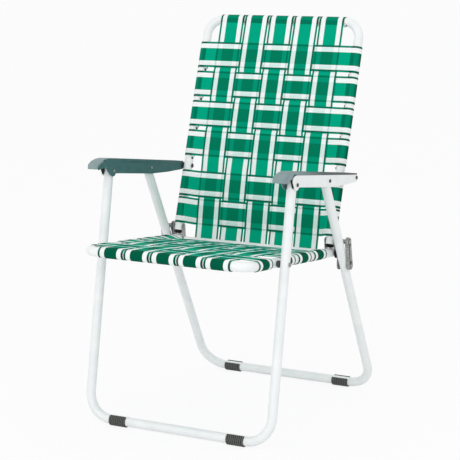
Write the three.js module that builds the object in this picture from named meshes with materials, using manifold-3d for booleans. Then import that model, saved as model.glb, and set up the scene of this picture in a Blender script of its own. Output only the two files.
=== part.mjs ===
// Folding webbed lawn chair: four bent steel tube frames, moulded armrests, woven straps and a folding linkage.
// Millimetres, +Z up, the sitter faces -Y, the chair's own left side is +X.
import * as THREE from "three";
import { mergeVertices } from "three/addons/utils/BufferGeometryUtils.js";
import Module from "manifold-3d";

const wasm = await Module();
wasm.setup();

// Tube stock and bends
const TUBE_R = 10;
const TUBE_WALL = 1.2;
const CROSSBAR_R = 4.5;
const FRAME_BEND = 38;
const SEAT_BEND = 26;
const LEG_BEND = 55;
const TUBE_SIDES = 12;
const BEND_STEPS = 5;

// Widths: half distance between the back's tube axes, and the legs' distance outside them
const FRAME_X = 190;
const LEG_OFFSET = 27.6;

// Side view, open chair
const ARM_REAR_Y = 147.5;
const ARM_REAR_Z = 509.6;
const ARM_SLOPE = 4.13;
const ARM_MID_REACH = 137.7;
const ARM_FRONT_REACH = 293;
const BACK_LEAN = 17.5;
const BACK_END = 9;
const FRONT_FOOT_Y = -236;
const LINK_PIN_CLEAR = 16.175;
const HINGE_LENGTH = 27.3;
const HINGE_TILT = 3;
const SEAT_SLOPE = 5.03;
const SEAT_AHEAD = 106.75;
const SEAT_TAIL = 12;
const LINK_ON_LEG = 224.3;
const LEG_TOP = 6;

// Straps: widths, the free lengths of back tube above and below the arm pin, and the seat's rows about its leg pin
const WEB_W = 60;
const WEB_T = 1;
const WEB_SPACE = 2.2;
const WEB_TURN = 250;
const TURN_STEP = 32;
const UPPER_SPACES = [56.1, 8.5, 9.4, 8.3];
const ARM_PIN_ABOVE = 22.7;
const ARM_PIN_BELOW = 11;
const LOWER_SPACE = 2.4;
const LINK_PIN_SPACE = 7.9;
const SEAT_ROW_FIRST = 74;
const SEAT_ROW_AHEAD = 50;
const SEAT_ROW_BEHIND = 53;
const SEAT_ROW_COUNT = 4;
const WEB_COLUMNS = 5;
const BACK_SAG = 25.5;
const SEAT_SAG = 12;
const SAG_POWER = 3.5;

// Fits and sheet metal
const GAP = 0.3;
const SLACK = 0.5;
const PIN_R = 3;
const PLATE_T = 1.8;
const HINGE_END_R = 7;
const LINK_END_R = 11;
const LINK_RIM = 2.2;
const LINK_WAIST = 7.6;
const REST_TAIL = 3;
const REST_NOSE = 69;
const REST_CLEAR = 1;
const ARM_WALL = 2;
const HEAD_T = 2.2;
const SLEEVE_R = 5;

// Feet
const FOOT_WALL = 2;
const FOOT_LENGTH = 40;
const FOOT_RIBS = 5;
const FOOT_SIDES = 12;
const FOOT_GROOVE = 0.4;
const FOOT_MOUTH = 15;
const FOOT_INSET = 1.6;

const rad = THREE.MathUtils.degToRad;
const v2 = (a, b) => new THREE.Vector2(a, b);
const heading = (degrees) => v2(Math.cos(rad(degrees)), Math.sin(rad(degrees)));
const along = (start, axis, reach) => start.clone().addScaledVector(axis, reach);
const quarterTurn = (axis) => v2(-axis.y, axis.x);

// Where two side-view lines cross
function crossing(a, axisA, b, axisB) {
  const offset = b.clone().sub(a);
  return along(a, axisA, offset.cross(axisB) / axisA.cross(axisB));
}

// Side-view points hold (y, z)
const footZ = TUBE_R + FOOT_WALL;
const armAxis = heading(180 - ARM_SLOPE);
const armUp = quarterTurn(armAxis).negate();
const armRear = v2(ARM_REAR_Y, ARM_REAR_Z);
const armMid = along(armRear, armAxis, ARM_MID_REACH);
const armFront = along(armRear, armAxis, ARM_FRONT_REACH);
const backAxis = heading(90 - BACK_LEAN);
const backFront = quarterTurn(backAxis);
const sum = (list) => list.reduce((total, value) => total + value, 0);
const backAboveArm = sum(UPPER_SPACES) + UPPER_SPACES.length * WEB_W + ARM_PIN_ABOVE;
const linkBelowArm = ARM_PIN_BELOW + 2 * WEB_W + LOWER_SPACE + LINK_PIN_SPACE;
const linkTop = along(armRear, backAxis, -linkBelowArm);
const backTopReach = linkBelowArm + backAboveArm;
const frontFoot = v2(FRONT_FOOT_Y, footZ);
const frontLegAxis = armFront.clone().sub(frontFoot).normalize();
const toLinkPin = linkTop.clone().sub(armMid);
const rearLegTilt = toLinkPin.angle() - Math.asin(LINK_PIN_CLEAR / toLinkPin.length());
const rearLegAxis = v2(-Math.cos(rearLegTilt), -Math.sin(rearLegTilt));
const rearFoot = crossing(armMid, rearLegAxis, v2(0, footZ), v2(1, 0));
const linkFoot = along(armMid, rearLegAxis, -LINK_ON_LEG);
const seatHinge = along(linkTop, heading(HINGE_TILT - 90), HINGE_LENGTH);
const seatAxis = heading(180 - SEAT_SLOPE);
const seatUp = quarterTurn(seatAxis).negate();
const seatPivot = crossing(seatHinge, seatAxis, frontFoot, frontLegAxis);
const seatPinReach = seatPivot.distanceTo(seatHinge);
const seatDepth = seatPinReach + SEAT_AHEAD;
const seatRowPitch = (seatPinReach - SEAT_ROW_BEHIND - SEAT_ROW_FIRST) / (SEAT_ROW_COUNT - 2);
const seatRows = [seatPinReach + SEAT_ROW_AHEAD];
for (let j = SEAT_ROW_COUNT - 2; j >= 0; j--) seatRows.push(SEAT_ROW_FIRST + j * seatRowPitch);
const backRows = UPPER_SPACES.map((_, i) => backTopReach - sum(UPPER_SPACES.slice(0, i + 1)) - (i + 0.5) * WEB_W);
backRows.push(LINK_PIN_SPACE + LOWER_SPACE + 1.5 * WEB_W, LINK_PIN_SPACE + WEB_W / 2);

// Planes along X on one side, from the middle outwards
const legX = FRAME_X + LEG_OFFSET;
const footX = legX - LEG_BEND - FOOT_LENGTH / 2 - FOOT_INSET;
const frameIn = FRAME_X - TUBE_R;
const frameOut = FRAME_X + TUBE_R;
const legIn = legX - TUBE_R;
const legOut = legX + TUBE_R;
const webOut = TUBE_R + GAP + WEB_T;
const armIn = legIn - SLACK - ARM_WALL;
const armOut = legOut + SLACK + ARM_WALL;
const linkIn = legIn - SLACK - PLATE_T;
const linkOut = legOut + SLACK + PLATE_T;
const hingeIn = frameIn - GAP - PLATE_T;
const hingeOut = frameOut + GAP + PLATE_T;
const holeR = PIN_R + GAP;

const paint = (color, roughness, metalness) =>
  new THREE.MeshStandardMaterial({ color, roughness, metalness });
const whiteCoat = paint(0xf1f3f3, 0.35, 0.1);
const greyMoulding = paint(0x6c8582, 0.5, 0);
const zincPlate = paint(0x8d8d8a, 0.4, 0.8);
const darkRivet = paint(0x3c3f40, 0.45, 0.7);
const blackPlastic = paint(0x16181a, 0.55, 0);
const charcoalRubber = paint(0x5a5c5a, 0.75, 0);
const greenWeb = paint(0x008b66, 0.8, 0);

const chair = new THREE.Group();
chair.name = "folding_webbed_lawn_chair";

// A closed solid from a geometry, with its faces turned outwards
function solid(geometry) {
  const bare = new THREE.BufferGeometry();
  const source = geometry.index ? geometry.toNonIndexed() : geometry;
  bare.setAttribute("position", source.getAttribute("position").clone());
  const merged = mergeVertices(bare, 1e-3);
  const triVerts = new Uint32Array(merged.index.array);
  const vertProperties = new Float32Array(merged.attributes.position.array);
  const made = new wasm.Manifold(new wasm.Mesh({ numProp: 3, vertProperties, triVerts }));
  if (made.volume() > 0) return made;
  for (let i = 0; i < triVerts.length; i += 3) {
    const swap = triVerts[i];
    triVerts[i] = triVerts[i + 1];
    triVerts[i + 1] = swap;
  }
  return new wasm.Manifold(new wasm.Mesh({ numProp: 3, vertProperties, triVerts }));
}

function geometryOf(body) {
  const mesh = body.getMesh();
  const points = new Float32Array(mesh.vertProperties);
  const geometry = new THREE.BufferGeometry();
  geometry.setAttribute("position", new THREE.BufferAttribute(points, 3));
  geometry.setIndex(new THREE.BufferAttribute(new Uint32Array(mesh.triVerts), 1));
  geometry.computeVertexNormals();
  return geometry;
}

function add(name, body, material) {
  const mesh = new THREE.Mesh(geometryOf(body), material);
  mesh.name = name;
  chair.add(mesh);
}

// The same piece on both sides: +X is the chair's left
function addPair(name, body, material) {
  add("left_" + name, body, material);
  add("right_" + name, body.scale([-1, 1, 1]), material);
}

// A path whose steps fall only where they are needed
class StationPath extends THREE.Curve {
  constructor(stations) {
    super();
    this.stations = stations;
  }
  at(u) {
    return this.stations[Math.round(u * (this.stations.length - 1))];
  }
  getPoint(u) {
    return this.at(u).point.clone();
  }
  getPointAt(u) {
    return this.at(u).point.clone();
  }
  getTangentAt(u) {
    return this.at(u).tangent.clone();
  }
}

// Stations of a path through corners, each corner rounded to the bend radius
function bentPath(corners, bend) {
  const stations = [];
  const last = corners.length - 1;
  const leg = (i) => corners[i + 1].clone().sub(corners[i]).normalize();
  stations.push({ point: corners[0], tangent: leg(0) });
  for (let i = 1; i < last; i++) {
    const into = leg(i - 1);
    const out = leg(i);
    const turn = into.angleTo(out);
    const setback = bend * Math.tan(turn / 2);
    const start = corners[i].clone().addScaledVector(into, -setback);
    const side = out.clone().addScaledVector(into, -out.dot(into)).normalize();
    for (let k = 0; k <= BEND_STEPS; k++) {
      const angle = (turn * k) / BEND_STEPS;
      const point = start.clone();
      point.addScaledVector(into, bend * Math.sin(angle));
      point.addScaledVector(side, bend * (1 - Math.cos(angle)));
      const tangent = into.clone().multiplyScalar(Math.cos(angle));
      tangent.addScaledVector(side, Math.sin(angle));
      stations.push({ point, tangent });
    }
  }
  stations.push({ point: corners[last], tangent: leg(last - 1) });
  return stations;
}

// Hollow tube swept along a bent path
function bentTube(corners, bend, radius) {
  const ring = new THREE.Shape().absarc(0, 0, radius, 0, 2 * Math.PI);
  ring.holes.push(new THREE.Path().absarc(0, 0, radius - TUBE_WALL, 0, 2 * Math.PI, true));
  const stations = bentPath(corners, bend);
  const settings = {
    steps: stations.length - 1,
    curveSegments: TUBE_SIDES / 2,
    extrudePath: new StationPath(stations),
    bevelEnabled: false,
  };
  return solid(new THREE.ExtrudeGeometry(ring, settings));
}

// U-shaped frame: two open ends and one closed end, given in side view
function uFrame(end, bar, halfWidth, bend) {
  const at = (x, p) => new THREE.Vector3(x, p.x, p.y);
  const corners = [at(halfWidth, end), at(halfWidth, bar), at(-halfWidth, bar), at(-halfWidth, end)];
  return bentTube(corners, bend, TUBE_R);
}

// Round bar along X between two x positions
function roundBar(x0, x1, radius, centre) {
  const bar = new THREE.CylinderGeometry(radius, radius, x1 - x0, 8);
  bar.rotateZ(Math.PI / 2);
  bar.translate((x0 + x1) / 2, centre.x, centre.y);
  return solid(bar);
}

function drill(body, centres) {
  return centres.reduce((rest, c) => rest.subtract(roundBar(-legX * 2, legX * 2, holeR, c)), body);
}

// Turned pin on an X axis: pairs of x and radius, one pair for each end of each step
function turnedPin(steps, centre) {
  const profile = [v2(0, steps[0][0])];
  steps.forEach(([x, r]) => profile.push(v2(r, x)));
  profile.push(v2(0, steps[steps.length - 1][0]));
  const pin = new THREE.LatheGeometry(profile, 10);
  pin.rotateZ(-Math.PI / 2);
  pin.translate(0, centre.x, centre.y);
  return solid(pin);
}

// Side-view outline given thickness along X
function sidePlate(outline, x0, x1) {
  const plate = new THREE.ExtrudeGeometry(outline, { depth: x1 - x0, bevelEnabled: false, curveSegments: 4 });
  const ahead = new THREE.Vector3(0, 1, 0);
  const up = new THREE.Vector3(0, 0, 1);
  const across = new THREE.Vector3(1, 0, 0);
  plate.applyMatrix4(new THREE.Matrix4().makeBasis(ahead, up, across));
  plate.translate(x0, 0, 0);
  return solid(plate);
}

// Rounded link outline round two pivots
function linkOutline(a, b, radius, waist = radius) {
  const line = b.clone().sub(a);
  const angle = line.angle();
  const beside = v2(-line.y, line.x).normalize();
  const onWaist = (share, side) => a.clone().addScaledVector(line, share).addScaledVector(beside, side * waist);
  const outline = new THREE.Shape();
  outline.absarc(a.x, a.y, radius, angle + Math.PI / 2, angle + 1.5 * Math.PI);
  [0.3, 0.7].map((share) => onWaist(share, -1)).forEach((p) => outline.lineTo(p.x, p.y));
  outline.absarc(b.x, b.y, radius, angle - Math.PI / 2, angle + Math.PI / 2);
  [0.7, 0.3].map((share) => onWaist(share, 1)).forEach((p) => outline.lineTo(p.x, p.y));
  return outline;
}

// Frames
const frontTop = along(armFront, frontLegAxis, LEG_TOP);
const rearTop = along(armMid, rearLegAxis, LEG_TOP);
const backLow = along(linkTop, backAxis, -BACK_END);
const backTop = along(linkTop, backAxis, backTopReach);
const seatTail = along(seatHinge, seatAxis, -SEAT_TAIL);
const seatFront = along(seatHinge, seatAxis, seatDepth);
add("front_leg_frame", drill(uFrame(frontTop, frontFoot, legX, LEG_BEND), [armFront]), whiteCoat);
add("rear_leg_frame", drill(uFrame(rearTop, rearFoot, legX, LEG_BEND), [armMid]), whiteCoat);
add("back_frame", drill(uFrame(backLow, backTop, FRAME_X, FRAME_BEND), [armRear, linkTop]), whiteCoat);
add("seat_frame", drill(uFrame(seatTail, seatFront, FRAME_X, SEAT_BEND), [seatHinge, seatPivot]), whiteCoat);
const barEnd = hingeIn - 2 * GAP;
const barAt = (x) => new THREE.Vector3(x, seatHinge.x, seatHinge.y);
add("seat_crossbar", bentTube([barAt(barEnd), barAt(-barEnd)], 0, CROSSBAR_R), whiteCoat);

// End plugs: a flange against the tube's end and a short stem in its bore
function endPlug(end, inward, stem) {
  const flange = 2.5;
  const rim = TUBE_R - 0.2;
  const boreR = TUBE_R - TUBE_WALL - GAP;
  const profile = [v2(0, -flange), v2(rim - 1, -flange), v2(rim, 1 - flange), v2(rim, -GAP)];
  profile.push(v2(boreR, -GAP), v2(boreR, stem), v2(0, stem));
  const plug = new THREE.LatheGeometry(profile, 12);
  const inwardAxis = new THREE.Vector3(0, inward.x, inward.y);
  const turn = new THREE.Quaternion().setFromUnitVectors(new THREE.Vector3(0, 1, 0), inwardAxis);
  plug.applyQuaternion(turn);
  plug.translate(FRAME_X, end.x, end.y);
  return solid(plug);
}
addPair("back_end_plug", endPlug(backLow, backAxis, BACK_END - holeR - 1), blackPlastic);
addPair("seat_end_plug", endPlug(seatTail, seatAxis, SEAT_TAIL - holeR - 1), blackPlastic);

// Snap-on feet: a ribbed sleeve whose lowest flat is the sole, with a mouth at the top
function snapFoot(foot) {
  const halfSide = Math.PI / FOOT_SIDES;
  const inner = (TUBE_R + GAP) / Math.cos(halfSide);
  const outer = footZ / Math.cos(halfSide);
  const pitch = FOOT_LENGTH / FOOT_RIBS;
  const profile = [v2(inner, FOOT_LENGTH / 2), v2(inner, -FOOT_LENGTH / 2)];
  for (let k = 0; k < FOOT_RIBS; k++) {
    const start = -FOOT_LENGTH / 2 + k * pitch;
    profile.push(v2(outer - FOOT_GROOVE, start), v2(outer, start + 0.3 * pitch));
    profile.push(v2(outer, start + 0.7 * pitch));
  }
  profile.push(v2(outer - FOOT_GROOVE, FOOT_LENGTH / 2), profile[0].clone());
  const sleeve = new THREE.LatheGeometry(profile, FOOT_SIDES, halfSide);
  sleeve.rotateZ(-Math.PI / 2);
  sleeve.translate(footX, foot.x, foot.y);
  const mouth = new THREE.BoxGeometry(FOOT_LENGTH * 2, FOOT_MOUTH, TUBE_R * 2);
  mouth.translate(footX, foot.x, foot.y + TUBE_R + FOOT_WALL);
  return solid(sleeve).subtract(solid(mouth));
}
addPair("front_foot", snapFoot(frontFoot), charcoalRubber);
addPair("rear_foot", snapFoot(rearFoot), charcoalRubber);

// Armrest heights above the line of the arm's rivets
const armEdge = (a) => 6.2 + 0.045 * a;
const armCrown = (a) => 9.5 + 0.06 * a;
const armPoint = (a, n) => along(along(armRear, armAxis, a), armUp, n);

function outlineThrough(points) {
  return new THREE.Shape(points.map(([a, n]) => armPoint(a, n)));
}

// Long straight edge of the arm, from the rear end forward
const armLine = (height, raise, from, to) => [[from, height(from) + raise], [to, height(to) + raise]];

// Side of the arm: round rear end, tapered belly and a lobe round the front rivet
function armSide(raise, front, lobeStart) {
  const lobeR = 11.5;
  const rearR = 7.6;
  const rearDrop = 1.6;
  const reach = ARM_FRONT_REACH;
  const points = armLine(armEdge, raise, 0, reach + 4).concat(front);
  for (let k = lobeStart; k <= 6; k++) {
    const t = rad(15 - 28 * k);
    points.push([reach + lobeR * Math.cos(t) + 2, lobeR * Math.sin(t)]);
  }
  points.push([reach - 24, -6], [ARM_MID_REACH, -13], [ARM_MID_REACH * 0.48, -12.5]);
  for (let k = 0; k <= 4; k++) {
    const t = rad(-90 - 45 * k * 0.92);
    points.push([rearR * Math.cos(t), rearR * Math.sin(t) - rearDrop]);
  }
  return outlineThrough(points);
}

// Top of the armrest in side view, with its nose bent down at the front
function restProfile() {
  const reach = ARM_FRONT_REACH;
  const crown = armCrown(reach);
  const points = armLine(armCrown, 0, -REST_TAIL, reach);
  points.push([reach + 20, crown + 0.9], [reach + 37, crown - 0.8], [reach + 52, crown - 5]);
  points.push([reach + 62, crown - 11], [reach + REST_NOSE, crown - 20], [reach + REST_NOSE - 4, crown - 21]);
  points.push([reach + 58, crown - 13.5], [reach + 48.5, crown - 8]);
  points.push([reach + 35, crown - 4.3], [reach + 19, crown - 3]);
  return outlineThrough(points.concat(armLine(armEdge, REST_CLEAR, -REST_TAIL, reach).reverse()));
}

// Plan outline that rounds the armrest's nose and rear end
function restPlan() {
  const plan = new THREE.Shape();
  const nose = ARM_FRONT_REACH + REST_NOSE;
  const round = 8;
  plan.moveTo(armIn, -REST_TAIL);
  plan.lineTo(armOut, -REST_TAIL);
  plan.lineTo(armOut, nose - round);
  plan.absarc(armOut - round, nose - round, round, 0, Math.PI / 2);
  plan.absarc(armIn + round, nose - round, round, Math.PI / 2, Math.PI);
  const block = new THREE.ExtrudeGeometry(plan, { depth: ARM_FRONT_REACH, bevelEnabled: false, curveSegments: 5 });
  const across = new THREE.Vector3(1, 0, 0);
  const ahead = new THREE.Vector3(0, armAxis.x, armAxis.y);
  const up = new THREE.Vector3(0, armUp.x, armUp.y);
  block.translate(0, 0, -ARM_FRONT_REACH / 2);
  block.applyMatrix4(new THREE.Matrix4().makeBasis(across, ahead, up));
  block.translate(0, armRear.x, armRear.y);
  return solid(block);
}

const armHoles = [armRear, armMid, armFront];
const frontReach = ARM_FRONT_REACH;
const frontEdge = armEdge(frontReach);
const restTop = sidePlate(restProfile(), armIn, armOut).intersect(restPlan());
const skirtFront = [[frontReach + 19, frontEdge + 5.5], [frontReach + 39, frontEdge + 4]];
skirtFront.push([frontReach + 36, 13], [frontReach + 28, 5], [frontReach + 16, -6.5]);
const innerSkirt = sidePlate(armSide(REST_CLEAR + 1, skirtFront, 3), armIn, armIn + ARM_WALL);
const outerLip = sidePlate(
  outlineThrough(armLine(armEdge, REST_CLEAR + 1, 1 - REST_TAIL, frontReach + 3).concat(
    armLine(armEdge, GAP, 1 - REST_TAIL, frontReach + 3).reverse())),
  armOut - ARM_WALL, armOut);
const plateFront = [[frontReach + 10, frontEdge - 0.6], [frontReach + 15.7, frontEdge - 2.6]];
plateFront.push([frontReach + 19, frontEdge - 7.5], [frontReach + 18.5, frontEdge - 14]);
const platePattern = armSide(0, plateFront, 1);
addPair("armrest", drill(restTop.add(innerSkirt).add(outerLip), armHoles), greyMoulding);
addPair("arm_side_plate", drill(sidePlate(platePattern, armOut - ARM_WALL, armOut), armHoles), whiteCoat);

// Hinge plates between back and seat, lock link plates on the rear leg
const hingeShape = linkOutline(linkTop, seatHinge, HINGE_END_R);
const hingePins = [linkTop, seatHinge];
addPair("hinge_plate_inner", drill(sidePlate(hingeShape, hingeIn, hingeIn + PLATE_T), hingePins), zincPlate);
addPair("hinge_plate_outer", drill(sidePlate(hingeShape, hingeOut - PLATE_T, hingeOut), hingePins), zincPlate);
const linkShape = linkOutline(linkTop, linkFoot, LINK_END_R, LINK_WAIST);
const linkPins = [linkTop, linkFoot];
const linkRim = linkOutline(linkTop, linkFoot, LINK_END_R, LINK_WAIST);
linkRim.holes.push(linkOutline(linkTop, linkFoot, LINK_END_R - LINK_RIM, LINK_WAIST - LINK_RIM));
const rimmedLink = sidePlate(linkShape, linkOut - PLATE_T, linkOut).add(
  sidePlate(linkRim, linkOut - PLATE_T / 2, linkOut + 1.4));
addPair("lock_link_inner", drill(sidePlate(linkShape, linkIn, linkIn + PLATE_T), [linkTop]), zincPlate);
addPair("lock_link_outer", drill(rimmedLink, linkPins), zincPlate);

// Rivets and pins, each named for the joint it makes
const outerHead = (x, r) => [[x + GAP, PIN_R], [x + GAP, r], [x + GAP + HEAD_T * 0.5, r], [x + GAP + HEAD_T, r * 0.55]];
const innerHead = (x, r) => [[x - GAP - HEAD_T, r * 0.55], [x - GAP - HEAD_T * 0.5, r], [x - GAP, r], [x - GAP, PIN_R]];
const armRivet = [...innerHead(armIn, 5), ...outerHead(armOut, 4.8)];
addPair("front_arm_rivet", turnedPin(armRivet, armFront), darkRivet);
addPair("middle_arm_rivet", turnedPin(armRivet, armMid), darkRivet);
const collar = (x0, x1, r) => [[x0, PIN_R], [x0, r], [x1, r], [x1, PIN_R]];
const sleeveIn = legIn - SLACK + GAP;
const sleeveOut = legOut + SLACK - GAP;
const rearArmPin = [
  ...innerHead(frameIn, 5),
  ...collar(FRAME_X + webOut + GAP, armIn - GAP, 7),
  ...collar(sleeveIn, sleeveOut, 6),
  ...outerHead(armOut, 4.8),
];
addPair("rear_arm_pin", turnedPin(rearArmPin, armRear), darkRivet);
const linkPin = [
  ...innerHead(hingeIn, 5),
  ...collar(hingeOut + GAP, linkIn - GAP, 6),
  ...collar(sleeveIn, sleeveOut, SLEEVE_R),
  ...outerHead(linkOut, 7),
];
addPair("link_pin", turnedPin(linkPin, linkTop), zincPlate);
const linkRivet = [[legOut + GAP, 0.5], [legOut + GAP, PIN_R], ...outerHead(linkOut, 7)];
addPair("link_leg_rivet", turnedPin(linkRivet, linkFoot), zincPlate);
const spigotR = CROSSBAR_R - TUBE_WALL - GAP;
const hingePin = [
  [barEnd - 16, spigotR],
  [hingeIn - GAP, spigotR],
  [hingeIn - GAP, PIN_R],
  ...collar(hingeOut + GAP, linkIn - GAP, LINK_END_R).slice(0, 3),
];
addPair("hinge_pin", turnedPin(hingePin, seatHinge), blackPlastic);
const seatLegPin = [...innerHead(frameIn, 5), [frameOut + GAP, PIN_R], [frameOut + GAP, 7], [legIn - GAP, 7]];
addPair("seat_leg_pin", turnedPin(seatLegPin, seatPivot), darkRivet);

// Straps: the side profile of a strap is its centre line given a thickness
function strapSides(line) {
  const left = [];
  const right = [];
  line.forEach((p, i) => {
    const before = p.clone().sub(line[Math.max(i - 1, 0)]).normalize();
    const after = line[Math.min(i + 1, line.length - 1)].clone().sub(p).normalize();
    const mean = before.clone().add(after).normalize();
    const dot = i === 0 || i === line.length - 1 ? 1 : mean.dot(after);
    const side = quarterTurn(mean).multiplyScalar(WEB_T / 2 / dot);
    left.push(p.clone().add(side));
    right.push(p.clone().sub(side));
  });
  return { left, right };
}

function strapOutline(line) {
  const { left, right } = strapSides(line);
  return new THREE.Shape(left.concat(right.reverse()));
}

// Points round a tube from one angle to another
function turnRound(centre, radius, from, to, steps = Math.ceil(Math.abs(to - from) / TURN_STEP)) {
  const chordR = radius / Math.cos(rad((to - from) / steps / 2));
  return Array.from({ length: steps + 1 }, (_, k) => {
    return along(centre, heading(from + ((to - from) * k) / steps), chordR);
  });
}

// Angle at which a strap leaves a tube for a point: side 1 over the tube, side -1 under it
function leaving(centre, radius, target, side) {
  const offset = target.clone().sub(centre);
  const spread = Math.acos(radius / offset.length());
  return THREE.MathUtils.radToDeg(Math.atan2(offset.y, offset.x) + side * spread);
}

const laneR = TUBE_R + GAP + WEB_T / 2;
const weave = (WEB_T + GAP) / 2;
const webPitch = WEB_W + WEB_SPACE;
const columns = Array.from({ length: WEB_COLUMNS }, (_, k) => (k - (WEB_COLUMNS - 1) / 2) * webPitch);
const lateralOver = (row, column) => (row + column) % 2 === 0;
const flatSpan = WEB_W / 2 + GAP;

// How far the weave is drawn off the tubes' plane, towards the crossbar that holds the lengthwise straps
const backSag = (reach) => BACK_SAG * Math.min(Math.max(1 - reach / backTopReach, 0), 1) ** SAG_POWER;
const seatSag = (reach) => SEAT_SAG * Math.min(Math.max(1 - reach / seatDepth, 0), 1) ** SAG_POWER;

// A frame's plane: reach along it and height over its tube axes
const onBack = (p) => along(along(linkTop, backAxis, p.x), backFront, p.y);
const onSeat = (p) => along(along(seatHinge, seatAxis, p.x), seatUp, p.y);

// One edge of a strap across a frame: round both side tubes, over and under the lengthwise straps
function crossLine(row, sag) {
  const left = v2(-FRAME_X, 0);
  const right = v2(FRAME_X, 0);
  const middle = columns.flatMap((x, k) => {
    const level = laneR + (lateralOver(row, k) ? weave : -weave) - sag;
    return [v2(x - flatSpan, level), v2(x + flatSpan, level)];
  });
  const off = leaving(left, laneR, middle[0], 1);
  const back = leaving(right, laneR, middle[middle.length - 1], -1);
  const steps = Math.ceil((WEB_TURN + 30) / TURN_STEP);
  const first = turnRound(left, laneR, 90 + WEB_TURN, off, steps);
  return first.concat(middle, turnRound(right, laneR, (back + 360) % 360, 90 - WEB_TURN, steps));
}

// Strap across a frame, closed between its two edges
function crossStrap(row, reach, sagAt, onFrame) {
  const edges = [reach - WEB_W / 2, reach + WEB_W / 2].map((edge) => {
    const sides = strapSides(crossLine(row, sagAt(edge)));
    const place = (p) => [p.x, ...onFrame(v2(edge, p.y)).toArray()];
    return { left: sides.left.map(place), right: sides.right.map(place) };
  });
  const count = edges[0].left.length;
  const index = [0, 1, 2, 0, 2, 3];
  const points = [];
  for (let i = 0; i < count; i++) {
    points.push(edges[0].left[i], edges[1].left[i], edges[1].right[i], edges[0].right[i]);
    for (let k = 0; k < 4 && i + 1 < count; k++) {
      const p = 4 * i + k;
      const q = 4 * i + ((k + 1) % 4);
      index.push(p, p + 4, q + 4, p, q + 4, q);
    }
  }
  const last = 4 * (count - 1);
  index.push(last, last + 2, last + 1, last, last + 3, last + 2);
  const strap = new THREE.BufferGeometry();
  strap.setAttribute("position", new THREE.Float32BufferAttribute(points.flat(), 3));
  strap.setIndex(index);
  return solid(strap);
}

backRows.forEach((reach, i) => {
  add("back_cross_strap_" + (i + 1), crossStrap(i, reach, backSag, onBack), greenWeb);
});
seatRows.forEach((reach, j) => {
  add("seat_cross_strap_" + (j + 1), crossStrap(j, reach, seatSag, onSeat), greenWeb);
});

// A row's two edges on a lengthwise strap, which passes on the other side of each strap across
function rowEdges(row, column, reach, sagAt, way) {
  const level = laneR + (lateralOver(row, column) ? -weave : weave);
  return [-1, 1].map((end) => {
    const edge = reach + way * end * (WEB_W / 2);
    return v2(reach + way * end * flatSpan, level - sagAt(edge));
  });
}

// Lengthwise strap on the back: round the top bar, through the rows, down behind the crossbar
const barLane = CROSSBAR_R + GAP + WEB_T / 2;
function backLength(column) {
  const line = turnRound(v2(backTopReach, 0), laneR, 90 - WEB_TURN, 90);
  backRows.forEach((reach, i) => line.push(...rowEdges(i, column, reach, backSag, -1)));
  const start = line[line.length - 1];
  const toHinge = seatHinge.clone().sub(linkTop);
  const barRear = v2(toHinge.dot(backAxis), toHinge.dot(backFront) - barLane);
  line.push(start.clone().lerp(barRear, 0.55));
  return strapOutline(line.map(onBack));
}

// Lengthwise strap on the seat: under the crossbar from behind, through the rows, round the front bar
function seatLength(column) {
  const rows = [];
  for (let j = SEAT_ROW_COUNT - 1; j >= 0; j--) rows.push(...rowEdges(j, column, seatRows[j], seatSag, 1));
  const hinge = v2(0, 0);
  const under = turnRound(hinge, barLane, 180, leaving(hinge, barLane, rows[0], -1) + 360);
  const turned = turnRound(v2(seatDepth, 0), laneR, 90, 90 - WEB_TURN);
  return strapOutline(under.concat(rows, turned).map(onSeat));
}

columns.forEach((x, k) => {
  const name = "_length_strap_" + (k + 1);
  add("back" + name, sidePlate(backLength(k), x - WEB_W / 2, x + WEB_W / 2), greenWeb);
  add("seat" + name, sidePlate(seatLength(k), x - WEB_W / 2, x + WEB_W / 2), greenWeb);
});

export default chair;
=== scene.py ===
import math

import bpy
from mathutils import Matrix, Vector


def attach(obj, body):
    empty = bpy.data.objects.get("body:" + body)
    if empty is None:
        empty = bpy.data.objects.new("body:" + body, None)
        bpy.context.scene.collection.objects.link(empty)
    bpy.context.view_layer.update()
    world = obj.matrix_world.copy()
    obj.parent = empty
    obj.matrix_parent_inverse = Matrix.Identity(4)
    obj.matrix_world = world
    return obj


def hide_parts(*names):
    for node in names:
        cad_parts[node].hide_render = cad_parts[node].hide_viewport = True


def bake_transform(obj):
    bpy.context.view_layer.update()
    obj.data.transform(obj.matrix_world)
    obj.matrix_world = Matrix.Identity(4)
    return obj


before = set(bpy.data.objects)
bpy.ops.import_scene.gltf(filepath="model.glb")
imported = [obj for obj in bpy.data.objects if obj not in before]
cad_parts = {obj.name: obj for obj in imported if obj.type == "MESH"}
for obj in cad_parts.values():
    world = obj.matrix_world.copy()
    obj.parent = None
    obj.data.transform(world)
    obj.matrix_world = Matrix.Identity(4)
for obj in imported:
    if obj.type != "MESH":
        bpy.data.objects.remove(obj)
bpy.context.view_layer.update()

scene = bpy.context.scene
MM = 0.001

# Sizes of the chair in millimetres, as in the solids
TUBE_R, TUBE_WALL, BAR_R = 10.0, 1.2, 4.5
FRAME_BEND, SEAT_BEND, LEG_BEND = 38.0, 26.0, 55.0
FRAME_X, LEG_X, FOOT_X = 190.0, 217.6, 141.0
ARM_SLOPE, ARM_MID, ARM_FRONT = 4.13, 137.7, 293.0
BACK_LEAN, BACK_ABOVE, LINK_BELOW = 17.5, 345.0, 141.3
HINGE_LENGTH, HINGE_TILT = 27.3, 3.0
SEAT_SLOPE, SEAT_TAIL, BACK_END, LEG_TOP = 5.03, 12.0, 9.0, 6.0
SEAT_DEPTH = 386.9
BACK_ROWS = (400.2, 331.7, 262.3, 194.0, 100.3, 37.9)
SEAT_ROWS = (330.15, 227.15, 150.58, 74.0)
WEB_W, WEB_T, WEB_PITCH, WEB_TURN, COLUMNS = 60.0, 1.0, 62.2, 250.0, 5
BACK_SAG, SEAT_SAG, SAG_POWER = 25.5, 12.0, 3.5
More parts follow.
